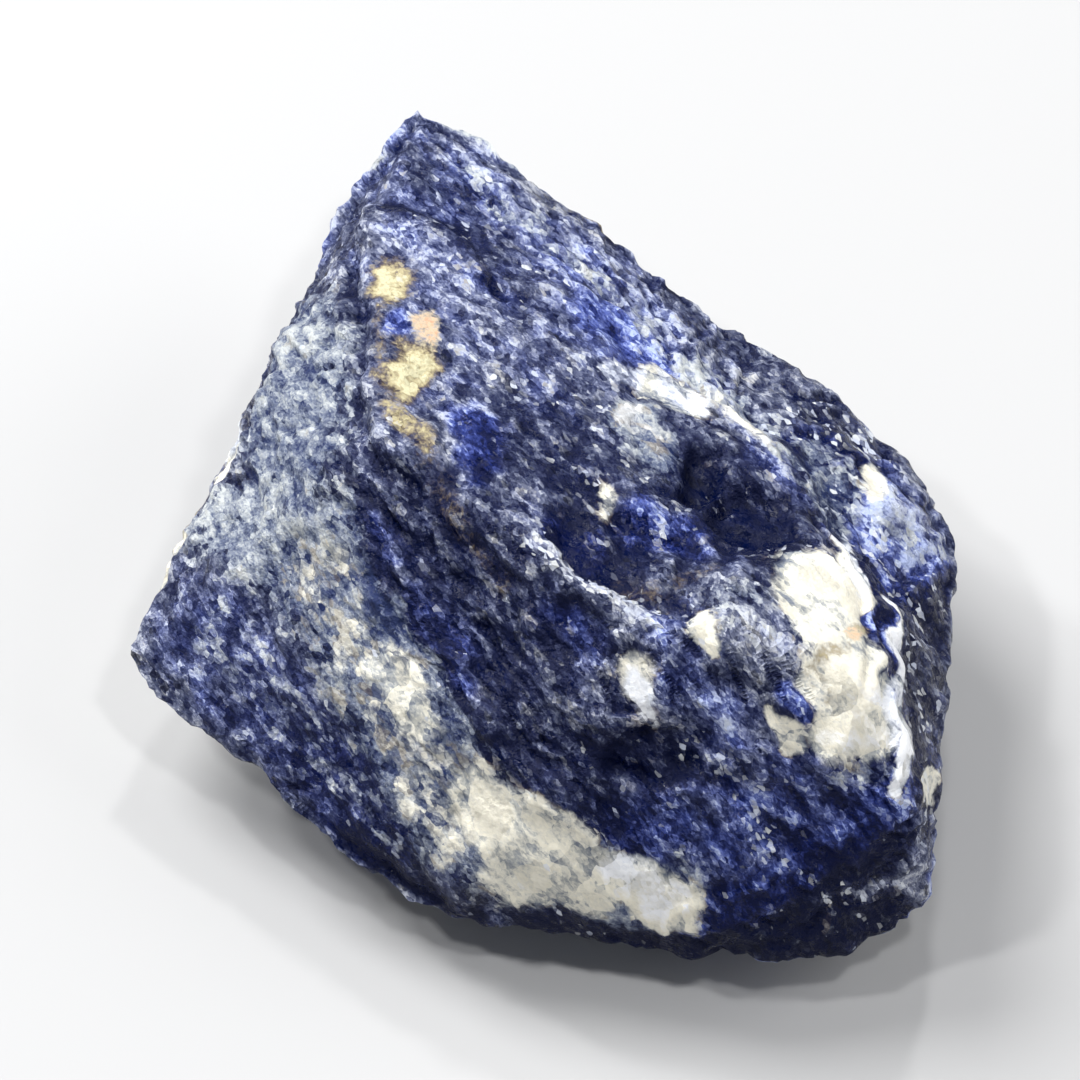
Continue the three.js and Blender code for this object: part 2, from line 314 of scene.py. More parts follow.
def painted(place, patches, ragged=0):
    """The share of each patch: its amount along its line, easing to 0 from 0.3 to 1.5 times its
    half width away. Its outline is moved by the ragged shift, less where the patch is narrow."""
    shares = []
    for line, half, amount in patches:
        distance, _, _ = nearest_on_line(place + ragged * min(half * half, 1), line)
        shares.append(amount * ease(1.5 * half, 0.3 * half, distance))
    return np.array(shares)


# Patches are each a line as (across, up), a half width and an amount. These say where the break
# is smoother than elsewhere: the left flank, the top plate and the tip.
SMOOTH = [
    ([(-18, 3), (-10, -6), (2, -14)], 5.5, 0.5),
    ([(-7, 27), (-4, 19), (1, 14)], 6, 0.5),
    ([(-7.6, 32), (-7.4, 29)], 2, 0.9),
]

# Where it runs in long slivers along the layers.
FLOW = [
    ([(-10, 9), (-4, 2), (5, -8)], 5.5, 1),
    ([(-3, 28), (3, 23), (11, 17)], 3.0, 1),
    ([(20, 8), (21.5, 2), (22, -8)], 2.2, 1),
    ([(9, -14), (16, -11.5), (20, -7)], 3.0, 0.4),
]

# Cream crystals, which broke in smooth faces.
CREAM = [
    ([(-3.6, -8.9), (-0.9, -10.7), (1.6, -12)], 2.3, 1.15),
    ([(-2, -13.3), (2.6, -14.3)], 1.5, 1.1),
    ([(4.6, -12.8), (7.2, -14.4)], 1.8, 1.4),
    ([(-9.5, -0.5), (-7.4, -4)], 1.6, 0.75),
    ([(-7.4, -7.5), (-5.4, -11.4)], 1.6, 0.45),
    ([(-13.5, 5), (-10.4, -1), (-6, -7)], 2.6, 0.36),
    ([(15, 3.6), (16.2, 1.6)], 2.1, 1.2),
    ([(17.5, 6.4), (17.7, 3)], 0.9, 1.2),
    ([(16.6, -1), (18.2, -2.2), (17.4, -4.4)], 1.9, 1.3),
    ([(19.6, -2.4), (19.4, -5)], 1.2, 1.2),
    ([(12.9, -3.3), (14.6, -5)], 1.0, 1.0),
    ([(5.2, -1), (5.4, -2)], 1.0, 0.75),
    ([(5.9, -3), (6.2, -3.5)], 0.7, 0.45),
    ([(8.5, 1.6), (9.5, 0.5)], 0.6, 1),
    ([(3.6, 16.2), (4.8, 15.8)], 0.8, 0.55),
    ([(5.8, 15.8), (8.2, 15.2)], 1.2, 0.85),
    ([(5, 13.9), (6.2, 12.8)], 1.1, 0.35),
    # Painted highlight on the inner rim of the groove between the back ridge and the lobe.
    ([(9.8, 15.6), (12.6, 13)], 0.55, 0.6),
    ([(3.5, 9), (3.8, 8.5)], 0.65, 0.65),
    ([(19.2, 10.2), (19.7, 9.4)], 0.7, 0.8),
    ([(19.9, 3.4), (20.3, 1.5), (20.7, -1.8)], 0.45, 1.5),
    ([(20.9, -3), (21.1, -5.5), (20.9, -7.8)], 0.38, 1.5),
    ([(22.6, -7), (22.8, -8.4)], 0.35, 1.2),
    ([(-11.7, 6.4), (-12, 5.8)], 0.6, 0.5),
]


def grain_height(point, flow):
    """Height of what is finer than the faces: hackles 4 mm long, which the flow draws out into
    slivers, chips 2.3 mm and 1 mm wide, and here and there the edges of layers 1.15 mm thick,
    each a sawtooth of the place across the layers."""
    swayed = point + drift(point, 3.2, 0.8, 40, 2)
    hackle = 1 - 2 * np.abs(roughness(squeezed(swayed, 1.6), 4.2, 91, 4))
    sliver = 1 - 2 * np.abs(roughness(squeezed(swayed, 3.6), 5.5, 95, 4))
    height = 0.34 * (hackle + (sliver - hackle) * flow)
    height = height + chips(squeezed(swayed, 1.9), 2.3, 0.26, 41, 0.06)
    height += chips(squeezed(point, 1.4), 1.05, 0.11, 53, 0.06)
    across = swayed @ ACROSS_LAYERS / 1.15 + 0.8 * roughness(point, 6.0, 61, 2)
    terrace = ease(0, 0.3, across % 1) - across % 1
    return height + 0.2 * terrace * ease(-0.1, 0.5, roughness(point, 7.0, 71, 2))


# A cube of equal squares, blown up until it is as round as the lump is long, wide and high.
places, squares = wrapped_cube(SQUARES)
round_cube = np.tan((places / SQUARES * 2 - 1) * np.pi / 4)
round_cube = round_cube / np.linalg.norm(round_cube, axis=1, keepdims=True) * HALF_SIZE
direction = round_cube / np.linalg.norm(round_cube, axis=1, keepdims=True)
base, outward = block(direction)

# The show side's own forms fade out where the block turns away from it, and big chips take
# over. Chips of two sizes lie over both.
facing = ease(0.03, 0.18, outward @ SHOW_OUT)
wobble = drift(base, 2.3, 0.55, 500, 2)
show_place = np.stack([base[:, 0], base @ SHOW_UP], axis=-1) + wobble[:, :2]
layered = squeezed(base + drift(base, 5, 1.2, 900, 2), 1.9)
height = facing * show_forms(show_place) + (1 - facing) * chips(base, 13, 0.9, 200, 0.1)
height += chips(layered, 9, 0.6, 11) + chips(layered, 4, 0.2, 77)

# The fine break is left out where it is smooth, and the foot is worn flat.
flow = facing * painted(show_place, FLOW).max(axis=0)
even = painted(show_place, SMOOTH).max(axis=0)
waxen = 0.6 * painted(show_place, CREAM).max(axis=0)
smooth = facing * np.maximum(even, waxen)
fine = grain_height(base, flow) * (1 - smooth)
surface = base + drift(base, 10, 0.8, 3, 3) + outward * (height + fine)[:, None]
surface[:, 2] = np.maximum(surface[:, 2], 0)

# The finished surface takes up exactly the space of the solid that it stands for.
low, high = (np.array(corner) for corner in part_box("sodalite_stone"))
share = (surface - surface.min(axis=0)) / np.ptp(surface, axis=0)
surface = low + share * (high - low)


def reach_of(i, j):
    """How far the middle between two points is from the heart."""
    return np.linalg.norm((surface[i] + surface[j]) / 2 - HEART * MM, axis=1)


# Each square is two triangles, creased along the diagonal that stands further from the heart.
a, b, c, d = squares.T
crease_ac = (reach_of(a, c) > reach_of(b, d))[:, None]
one = np.where(crease_ac, np.stack([a, b, c], -1), np.stack([a, b, d], -1))
other = np.where(crease_ac, np.stack([a, c, d], -1), np.stack([b, c, d], -1))
triangles = np.concatenate([one, other])


def worn(surface, rounds):
    """The surface after so many rounds of moving each point to the mean of its neighbours."""
    start, end = np.concatenate([squares[:, [k, (k + 1) % 4]] for k in range(4)]).T
    neighbours = np.bincount(start, minlength=len(surface))[:, None]
    for _ in range(rounds):
        totals = [np.bincount(start, surface[end, axis], len(surface)) for axis in range(3)]
        surface = np.stack(totals, axis=-1) / neighbours
    return surface


# How far each point stands out from the surface round it: fine edges, then broad rises. The colour uses
# these for worn edges and for painted light and shade.
edge = ((surface - worn(surface, 5)) * outward).sum(axis=1) / (0.06 * MM)
rise = ((surface - worn(surface, 60)) * outward).sum(axis=1) / (0.35 * MM)
edge, rise = np.clip(edge, -2, 2), np.clip(rise, -2, 2)

mesh = bpy.data.meshes.new("sodalite_lump")
mesh.from_pydata(surface, [], triangles)
mesh.shade_smooth()
mesh.set_sharp_from_angle(angle=CREASE)
stone = bpy.data.objects.new("sodalite_lump", mesh)
bpy.context.scene.collection.objects.link(stone)


# ---------------------------------------------------------------------------------------------
# The minerals. Royal-blue sodalite is shot through with grey-white and cream feldspar, a few
# ochre and rose spots and black grains. Where each shows is kept on the mesh as a share, and
# the material turns the shares into grains of each mineral.
# ---------------------------------------------------------------------------------------------

# Patches of grey-white, of white in the cream, of blue left bare by both, of ochre, of rose, and
# of the most vivid blue.
PALE = [
    ([(-14.6, 18), (-15.2, 13.3), (-15.7, 9.5), (-13.5, 5)], 3.4, 1),
    ([(-19.6, 7.5), (-14.5, 5)], 2.6, 0.85),
    ([(-13, 6), (-10.6, 1), (-8.4, -4), (-4.6, -9.5)], 3.4, 1.1),
    ([(-6, -9.5), (0, -12), (6, -14)], 3.2, 1.05),
    ([(-19, 1), (-14, -5), (-8, -11)], 2.2, 0.35),
    ([(9.8, 1.6), (12.6, 2.2)], 1.3, 0.42),
    ([(17.4, -6.4), (20, -6.6)], 0.9, 0.5),
    ([(20, 8.8), (22.2, 6.4)], 1.3, 0.5),
    ([(-5, 28.7), (1, 23.7), (6, 19.7), (11, 16.2)], 0.9, 0.5),
    ([(5, 13.6), (6.4, 12)], 1.3, 1.05),
    # Painted highlight: a pale band along the inner rim of the groove between the back ridge and the
    # lobe.
    ([(9, 17), (13, 14), (17.8, 9)], 1.5, 0.7),
]
WHITE = [
    ([(5, 13.9), (6.2, 12.8)], 1.0, 0.4),
    ([(17.3, 7.2), (18.1, 4)], 0.9, 0.6),
    ([(19.8, -2), (19.6, -5)], 0.8, 0.35),
    ([(16.4, -4.6), (18, -5.4)], 0.7, 0.5),
    ([(3, 16.4), (4.6, 16)], 1.0, 0.9),
    ([(6.8, 15.8), (8.6, 15)], 0.9, 0.8),
    # Painted highlight on the inner rim of the groove between the back ridge and the lobe.
    ([(10, 14.4), (14.5, 11.5)], 0.9, 0.35),
    ([(4.8, -12.4), (7, -14)], 1.4, 0.6),
    ([(5.4, -1.8), (6.2, -3.4)], 0.9, 0.9),
    ([(19.8, 3.4), (20.7, -1.9), (21, -7.8)], 0.8, 0.8),
]
BARE = [
    ([(18.3, 1.8), (19, 1)], 0.6, 1),
    ([(14.1, -1.6), (15.3, -3.3)], 0.4, 1),
    ([(12.2, -2.8), (12.8, -5.4)], 0.5, 0.6),
    ([(18, 6.5), (18.9, 4), (19.3, 1), (19.8, -1.6)], 0.25, 1.2),
    # Painted shadow: the band under the front edge is kept free of grey-white and cream.
    ([(-12, -11), (-7.5, -14.8), (-3.6, -16.8), (3, -17.2), (10, -17.2)], 1.2, 1.3),
    ([(-9, 8), (-6, 2.6), (-3, -2.5), (2.5, -7.5), (6, -10.6)], 1.6, 1.0),
]
OCHRE = [
    ([(-9.3, 22.6), (-9, 21.4)], 1.1, 1.0),
    ([(-7.8, 16.8), (-8.3, 15.6)], 1.3, 0.95),
    ([(-9.2, 14.4), (-8.6, 13), (-7.6, 11.8)], 0.7, 0.6),
    ([(-7.2, 11), (-4.5, 7.5), (-3, 4)], 0.9, 0.25),
    ([(-9.8, 20), (-9.6, 16)], 0.4, 0.45),
    ([(17.3, 0.8), (18, 1.1)], 0.5, 0.7),
    ([(15.6, -0.5), (17.2, -0.3)], 0.5, 0.5),
    ([(15.3, -0.8), (16.4, -2.2)], 0.6, 0.35),
    ([(4.5, 4.6), (7, 3.6), (9.4, 4.4)], 0.8, 0.3),
]
ROSE = [([(-7.2, 18.9), (-7.1, 18.3)], 0.8, 0.7), ([(17.2, 0.9), (17.6, 0.5)], 0.5, 0.7)]
VIVID = [
    ([(2.9, 19.1), (6.5, 17.2)], 1.8, 1.1),
    ([(-4.4, 12.9), (-3.8, 12.2)], 1.7, 1.2),
    ([(0.5, 7.2), (3, 6.4)], 0.8, 1.1),
    ([(5.5, 7.6), (8.8, 6.6)], 1.2, 0.9),
    ([(-11, 8), (-9.2, 6)], 1.3, 0.45),
    ([(-8, 3), (-6.5, 1), (-5, -1.5)], 1.3, 0.6),
    ([(0.5, 2.4), (2.6, 1)], 1.3, 0.7),
    ([(7.5, 0.6), (8.4, -2.3), (10, -4.5)], 2.2, 0.5),
    ([(6, -11), (13, -10), (19, -6)], 4.0, 0.65),
    ([(9, -15), (14, -13), (18, -10.6), (20.4, -7.6)], 1.4, 1.2),
    ([(12, 12), (16, 9)], 1.6, 0.4),
    ([(10, 15.4), (14, 12.8)], 1.4, 0.35),
    ([(-20, 1), (-15, -4), (-10, -9)], 3.5, 0.5),
    ([(18, 9), (22, 5)], 2.6, 0.75),
    ([(-8, 28), (-5, 20), (6, 20)], 6.0, 0.3),
    ([(-5, 28.7), (1, 23.7), (6, 19.7), (11, 16.2)], 1.6, 0.5),
    ([(14.8, 13), (17.2, 11.2)], 1.1, 1.1),
    ([(14, -1.4), (15.3, -3.3)], 0.6, 1.2),
    ([(18.2, 2), (19, 0.8)], 0.9, 1.2),
    ([(18.9, 5.5), (20, 1), (20.5, -2.4)], 0.6, 1.3),
    ([(-8.8, 19.3), (-8.7, 18.7)], 0.6, 1.2),
]

# How much lighter or darker than usual the blue is along a line. Some lines are painted light and shade:
# highlights on the ledge, the lobe and the groove's rim, and shade in troughs, on the right and under
# the front.
TONES_AND_PAINTED_LIGHT = [
    ([(-6, 25), (-3, 19), (2, 14)], 6, 0.18),
    ([(-6, 9.6), (-1.4, 6.2), (1.4, 3.6)], 1.2, -0.35),
    ([(-5, 29.3), (1, 24.4), (6, 20.4)], 1.6, 0.24),
    ([(6, 20.4), (11, 17)], 1.4, 0.4),
    # Painted highlight on the inner rim of the groove between the back ridge and the lobe.
    ([(10, 15.4), (14, 12.8)], 1.2, 0.5),
    ([(-8, 23.6), (-6, 21)], 2.6, 0.08),
    ([(-8.4, 30), (-6, 27)], 3.0, -0.2),
    ([(2.9, 19.1), (6.5, 17.2)], 1.4, 0.32),
    ([(16.5, 10), (22.5, 4)], 2.6, -0.6),
    # Painted highlight on the outer lobe.
    ([(19.6, 8.6), (22.2, 5.8)], 1.4, 1.4),
    ([(14.6, 14.4), (20, 11.6)], 1.4, -0.3),
    ([(12, 16.4), (14.4, 14.8)], 0.7, 0.5),
    # Painted highlight on the inner rim of the groove between the back ridge and the lobe.
    ([(8.6, 16.6), (12.6, 13.4), (16.6, 9)], 1.1, 0.35),
    ([(-4.5, 13), (-3.6, 11.8)], 1.3, -0.5),
    ([(-6.1, 11.4), (-6, 13.4), (-4.6, 14.4), (-2.9, 13.9)], 0.45, 0.6),
    # Painted highlight along the glinting ledge's edge.
    ([(-0.4, 6.4), (0.8, 5.2), (3.4, 4.2), (6, 2.4)], 0.35, 0.3),
    # Painted shade in the trough above the glinting ledge.
    ([(0.2, 7.2), (1.4, 5.9), (3.6, 4.9), (6.4, 3.4)], 0.45, -0.8),
    ([(-14, -6), (-9, -10)], 2.4, -0.36),
    ([(-20, -1), (-14, 0)], 2.6, 0.1),
    ([(3.5, 2.4), (8, 1.6)], 1.2, -0.1),
    ([(-11.4, 9.6), (-6.8, 2), (-1.8, -5), (3.5, -10.5)], 2.8, -0.44),
    ([(-5, 8), (-1, 3), (2, -2)], 3.4, -0.15),
    ([(-0.5, 12.6), (4, 9)], 3.0, -0.42),
    ([(8.8, 11.2), (9.1, 10)], 1.1, -1.1),
    ([(10.6, 8.4), (12.6, 6)], 2.2, -0.75),
    ([(9, 10), (13, 7)], 2.6, -0.25),
    ([(12, 12), (17, 7.6)], 1.6, -0.1),
    ([(1.2, 10.1), (2, 9.3)], 1.2, -0.4),
    ([(4.4, -5.4), (8.2, -6.6)], 2.2, -0.6),
    # Painted shade in the trough above the glinting ledge.
    ([(0.4, 7.4), (3.2, 6.3), (5.2, 5.6)], 1.1, -0.7),
    # Painted shadow along the raised flake's upper edge.
    ([(-9.4, 26.4), (-7, 25.6), (-5, 24.6), (-4.2, 22.6), (-3.3, 20.8)], 0.55, -0.9),
    ([(-3.6, 24), (-1.5, 20.5)], 1.6, -0.2),
    ([(-9.9, 12.6), (-5, 8), (-2.2, 3.6), (1, -1)], 0.9, -0.3),
    ([(-11.8, 9.6), (-9.4, 4), (-6.2, -1.5), (-3.2, -6), (2, -10)], 0.6, -0.5),
    ([(18, 6.5), (18.9, 4), (19.3, 1), (19.8, -1.6)], 0.32, -0.9),
    ([(21.6, 1), (22, -4), (22, -8)], 0.4, -0.7),
    # The right wall darker: partly dark mineral, partly painted shade.
    ([(22.4, 2), (22.6, -8)], 1.2, -0.35),
    # Painted shadow: the dark band on the underside below the front edge.
    ([(-12, -11.4), (-7.5, -15), (-3.6, -17), (3, -17.4), (10, -17.4), (20, -15.6)], 1.5, -1.5),
    # Painted shade on the lower right facet below the front edge.
    ([(11, -15.6), (16, -14), (20.5, -10.8)], 1.6, -0.6),
    ([(8.4, -5.6), (11, -7.4), (14.6, -9.8)], 0.4, 0.35),
    ([(11.4, -9.2), (13.4, -12)], 0.6, 0.25),
    ([(9, -15), (14, -13), (18, -10.6), (20.4, -7.6)], 1.2, -0.1),
    ([(8, -13), (14, -11), (19, -8.5)], 3.0, -0.1),
    ([(8, -4.6), (10.5, -3.5)], 1.8, 0.3),
    # Painted shade on the lower right facet below the front edge.
    ([(16.6, -11.9), (20.2, -11)], 1.2, -0.4),
    ([(16.6, -14.2), (19, -13.8), (21.6, -12.7)], 0.35, 0.6),
    ([(11.5, 17.2), (13.4, 14.4), (15.8, 11), (18, 7.6), (19.4, 5)], 0.4, -0.9),
]

# Where crystal faces glitter: there they are glassier, and get more painted glints in their colour.
GLITTER = [
    # Along the glinting ledge: glassier, with many painted glints.
    ([(-0.4, 6.4), (0.8, 5.2), (3.4, 4.2), (6, 2.4)], 0.6, 4.5),
    ([(-0.2, 7.1), (3, 4.7), (6, 2.9), (9, 1.3)], 1.6, 1),
    ([(-5, 28.7), (1, 23.7), (6, 19.7), (11, 16.2)], 1.6, 1),
    ([(-3, 17), (2, 14)], 3.0, 1.2),
    ([(-4, 24), (4, 17.5)], 3.0, 0.8),
    ([(8.4, -5.6), (11, -7.2), (14.6, -9.6)], 0.9, 2),
    ([(11.4, -9.2), (13.4, -12)], 1.0, 2),
    ([(18.6, 9.5), (21, 5.6)], 2.6, 1.5),
    ([(14.6, 14.4), (20, 11.6)], 1.2, 2.5),
    ([(10.8, 6.6), (14.4, 5.8)], 1.2, 1.5),
    ([(10, 16), (13, 13.6)], 1.2, 2),
    ([(2, 9), (8, 8)], 1.4, 1),
    ([(22.1, 4), (22.5, -10)], 1.0, 1.6),
    ([(16.6, -14.2), (19, -13.8), (21.6, -12.7)], 0.6, 2),
]

# The outlines of the patches are ragged. The hidden sides have streaks along the layers.
ragged = drift(base, 1.5, 0.7, 610, 3)[:, :2]
wild = squeezed(base + drift(base, 4, 1.5, 620, 2), 2.2)


def shown(patches):
    """The greatest share of any patch at each place of the show side."""
    return painted(show_place, patches, ragged).max(axis=0)


# Each share on the show side, and what the hidden sides have instead. The tone, glitter, edge and rise
# shares carry painted light and shade as well.
shares = {
    "pale": (shown(PALE) - shown(BARE), ease(0.0, 0.35, roughness(wild, 14, 701, 3))),
    "cream": (shown(CREAM) - shown(BARE), 0.9 * ease(0.25, 0.5, roughness(wild, 9, 720, 3))),
    "white": (shown(WHITE), ease(0, 0.4, roughness(wild, 5, 730, 3))),
    "vivid": (shown(VIVID), 0.5 * ease(-0.2, 0.2, roughness(wild, 10, 740, 3))),
    "ochre": (shown(OCHRE), 0.8 * ease(0.45, 0.75, roughness(base, 5, 780, 3))),
    "rose": (shown(ROSE), 0.6 * ease(0.55, 0.75, roughness(base, 6, 790, 3))),
    "tone": (painted(show_place, TONES_AND_PAINTED_LIGHT, ragged).sum(axis=0), 0.7 * roughness(wild, 8, 760, 3)),
    "glitter": (shown(GLITTER), ease(0, 0.4, roughness(wild, 6, 770, 2))),
    "flow": (flow, 0.5),
    "edge": (edge, edge),
    "rise": (rise, rise),
}
for name, (on_show, hidden) in shares.items():
    layer = mesh.attributes.new(name, "FLOAT", "POINT")
    layer.data.foreach_set("value", facing * on_show + (1 - facing) * hidden)


class Shade:
    """A shader node's output. Arithmetic with numbers and other outputs adds Math nodes."""

    def __init__(self, tree, socket):
        self.tree = tree
        self.socket = socket

    def node(self, kind, settings, inputs, output=0):
        """Adds a node: its settings first, then the values or links of its sockets."""
        made = self.tree.nodes.new(kind)
        for name, value in settings.items():
            if name == "stops":
                for element, (position, colour) in zip(self.ramp_elements(made, len(value)), value):
                    element.position, element.color = position, (*colour, 1)
            else:
                setattr(made, name, value)
        for name, value in inputs.items():
            if isinstance(value, Shade):
                self.tree.links.new(value.socket, made.inputs[name])
            else:
                made.inputs[name].default_value = value
        return Shade(self.tree, made.outputs[output])

    def ramp_elements(self, made, count):
        """The ramp's stops, as many as asked for."""
        while len(made.color_ramp.elements) < count:
            made.color_ramp.elements.new(1)
        return made.color_ramp.elements

    def ramp(self, *stops):
        """Colours along this value from 0 to 1, each stop a place and a colour."""
        return self.node("ShaderNodeValToRGB", {"stops": stops}, {0: self})

    def maths(self, operation, first, second):
        """One Math node on two numbers."""
        return self.node("ShaderNodeMath", {"operation": operation}, {0: first, 1: second})

    def __add__(self, other):
        return self.maths("ADD", self, other)

    def __radd__(self, other):
        return self.maths("ADD", other, self)

    def __sub__(self, other):
        return self.maths("SUBTRACT", self, other)

    def __rsub__(self, other):
        return self.maths("SUBTRACT", other, self)

    def __mul__(self, other):
        return self.maths("MULTIPLY", self, other)

    def __rmul__(self, other):
        return self.maths("MULTIPLY", other, self)

    def eased(self, start, end):
        """0 at start and 1 at end, with a smooth step between."""
        inputs = {"Value": self, "From Min": start, "From Max": end}
        return self.node("ShaderNodeMapRange", {"interpolation_type": "SMOOTHSTEP"}, inputs)

    def mixed(self, share, colour):
        """This colour with a share of another laid over it."""
        return self.node("ShaderNodeMix", {"data_type": "RGBA"}, {0: share, 6: self, 7: colour}, 2)


material = bpy.data.materials.new("sodalite")
material.use_nodes = True
tree = material.node_tree
surface_shader = tree.nodes["Principled BSDF"]
graph = Shade(tree, None)


def share_of(name):
    """A share that the mesh holds."""
    return graph.node("ShaderNodeAttribute", {"attribute_name": name}, {}, "Fac")


def vector(operation, *inputs, output="Vector", **more):
    """One Vector Math node on vectors in order, and on numbers by name."""
    inputs = dict(enumerate(inputs)) | more
    return graph.node("ShaderNodeVectorMath", {"operation": operation}, inputs, output)


def noise(place, scale, detail, rough, distortion=0.0, output="Fac"):
    """Cloudy noise, so many waves to a millimetre, with finer waves on them."""
    inputs = {"Vector": place, "Scale": scale, "Detail": detail, "Roughness": rough}
    return graph.node("ShaderNodeTexNoise", {}, inputs | {"Distortion": distortion}, output)


def grains(place, scale, output="Color", feature="F1"):
    """Grains, so many to a millimetre: each one's random colour, or another output."""
    inputs = {"Vector": place, "Scale": scale}
    return graph.node("ShaderNodeTexVoronoi", {"feature": feature}, inputs, output)


def part_of(colour, channel):
    """One of a colour's three numbers."""
    return graph.node("ShaderNodeSeparateColor", {}, {"Color": colour}, channel)


LAYER_SQUEEZE = 0.8  # added to a grain's fineness across the layers
GRAINS, SMALL_GRAINS, SPECKS = 0.95, 2.4, 5.2  # to a millimetre
SEAMED_GRAINS, SPARS = 1.25, 0.55
SEAM_WIDTH = 0.12
BENDS = (0.45, 0.45, 0.45)  # how far the swirl bends the grains, in mm, and the spars
SPAR_BENDS = (0.8, 0.8, 0.8)

metres = graph.node("ShaderNodeTexCoord", {}, {}, "Object")
place = vector("SCALE", metres, Scale=1 / MM)
across = vector("DOT_PRODUCT", place, tuple(ACROSS_LAYERS), output="Value")
sliced = vector("MULTIPLY_ADD", tuple(ACROSS_LAYERS), across * LAYER_SQUEEZE, place)

# The grains that the rock is made of, 1 mm, 0.4 mm and 0.2 mm across, each of one tone and one
# lean. The noise that colours them is read at their middles, so each has one colour.
middle = (0.5, 0.5, 0.5)
swirl = noise(place, 0.9, 2, 0.5, output="Color")
bent = vector("MULTIPLY_ADD", vector("SUBTRACT", swirl, middle), BENDS, sliced)
crystal = grains(bent, GRAINS)
crystal_place = grains(bent, GRAINS, "Position")
small_crystal = grains(bent, SMALL_GRAINS)
small_place = grains(bent, SMALL_GRAINS, "Position")
speck = part_of(grains(bent, SPECKS), "Blue") - 0.5
seam = grains(bent, SEAMED_GRAINS, "Distance", "DISTANCE_TO_EDGE")

# Unevenness from broad to fine, each from -0.5 to 0.5: blotches, wisps, clouds, threads and
# streaks along the layers, then grain. Edges that stand out are lighter, as worn edges are; broad
# rises are lighter and creases and hollows darker, which is painted light and shade.
blotch = noise(sliced, 0.28, 2, 0.5, distortion=0.6) - 0.5
wisp = noise(crystal_place, 0.45, 3, 0.6) - 0.5
thread = noise(small_place, 0.9, 3, 0.6, distortion=0.4) - 0.5
cloud = noise(small_place, 0.8, 3, 0.55) - 0.5
grain = noise(place, 3.2, 3, 0.6) - 0.5
small_across = vector("DOT_PRODUCT", small_place, tuple(ACROSS_LAYERS), output="Value")
streaked = vector("MULTIPLY_ADD", tuple(ACROSS_LAYERS), small_across * 1.8, small_place)
streak = noise(streaked, 0.42, 3, 0.6, distortion=0.5) - 0.5
tone = part_of(crystal, "Red") - 0.5
small_tone = part_of(small_crystal, "Green") - 0.5
# Worn edges and painted light and shade: lighter where the mesh stands out, darker in its creases and
# hollows.
edge_wear_and_painted_shade = share_of("edge") * 0.08 + share_of("rise") * 0.05

# How light the sodalite is, which takes it from black through blue to near white, and its three
# kinds: vivid blue, slate, and drab where it is stained.
drawn = share_of("flow")
light = 0.42 + share_of("tone") * 0.6 + blotch * 0.5 + wisp * 0.62 + cloud * (0.95 - drawn * 0.45)
light = light + streak * (0.2 + drawn * 1.3) + thread * (1.25 - drawn * 0.4) + grain * 0.35
light = light + tone * 0.18 + small_tone * 0.28 + speck * 0.22 + edge_wear_and_painted_shade
light = light + (SEAM_WIDTH - seam).eased(0, SEAM_WIDTH) * (wisp + 0.2) * 0.5
blue = light.ramp((0.0, (0, 0.003, 0.036)), (0.25, (0.004, 0.010, 0.078)),
                  (0.48, (0.022, 0.036, 0.17)), (0.72, (0.092, 0.128, 0.39)),
                  (1.0, (0.42, 0.50, 0.78)))
slate = light.ramp((0.0, (0, 0.0025, 0.026)), (0.25, (0.009, 0.013, 0.050)),
                   (0.48, (0.046, 0.056, 0.11)), (0.72, (0.155, 0.172, 0.25)),
                   (1.0, (0.47, 0.49, 0.56)))
drab = light.ramp((0.0, (0.003, 0.004, 0.012)), (0.25, (0.015, 0.018, 0.028)),
                  (0.48, (0.06, 0.062, 0.066)), (0.72, (0.18, 0.175, 0.155)),
                  (1.0, (0.52, 0.50, 0.44)))
slate = slate.mixed((streak * 1.2 + wisp * 0.8 - cloud).eased(0.12, 0.3) * 0.55, drab)
vivid = (0.05 + share_of("vivid") + blotch * 1.3 + wisp * 0.9).eased(0.0, 1.1)
colour = slate.mixed(vivid, blue)

# Grey-white feldspar in veins with a ragged border.
uneven = wisp * 1.1 + cloud * 1.4 + thread * 0.9 + grain * 0.5 + small_tone * 0.2 + tone * 0.2
pale = (share_of("pale") * 0.95 + uneven * 0.9).eased(0.2, 0.8)
milk = 0.5 + grain * 0.5 + speck * 0.3 + thread * 1.0 + cloud * 1.3 + blotch * 1.2 + wisp * 0.7
milk = milk + tone * 0.2 + small_tone * 0.15 + edge_wear_and_painted_shade + share_of("tone") * 0.3
grey = milk.ramp((0.1, (0.02, 0.032, 0.10)), (0.4, (0.12, 0.145, 0.22)),
                 (0.65, (0.275, 0.305, 0.36)), (1.0, (0.52, 0.545, 0.55)))
colour = colour.mixed(pale, grey)

# The cream feldspar grows in coarser crystals, with brown stain between it and the blue.
RUST = (0.085, 0.055, 0.04, 1)
spar = grains(vector("MULTIPLY_ADD", swirl, SPAR_BENDS, place), SPARS)
spar_tone = part_of(spar, "Red") - 0.5
spread = share_of("cream") + spar_tone * 0.15 + uneven * 0.45
rusty = spread.eased(0.15, 0.4) * (1 - spread.eased(0.45, 0.7)) * (wisp + cloud).eased(0.0, 0.15)
colour = colour.mixed(rusty * 0.8, RUST)
cream = spread.eased(0.2, 0.7)
waxy = milk * 0.55 + spar_tone * 0.35 + spread * 0.38
ivory = waxy.ramp((0.15, (0.14, 0.165, 0.22)), (0.4, (0.36, 0.37, 0.36)),
                  (0.6, (0.67, 0.65, 0.57)), (0.85, (0.81, 0.77, 0.64)), (1.0, (0.85, 0.81, 0.69)))
snow = waxy.ramp((0.15, (0.30, 0.34, 0.48)), (0.5, (0.70, 0.73, 0.79)),
                 (0.95, (0.92, 0.93, 0.95)))
whiter = (share_of("white") + uneven * 0.5 + spar_tone * 0.4).eased(0.25, 0.75)
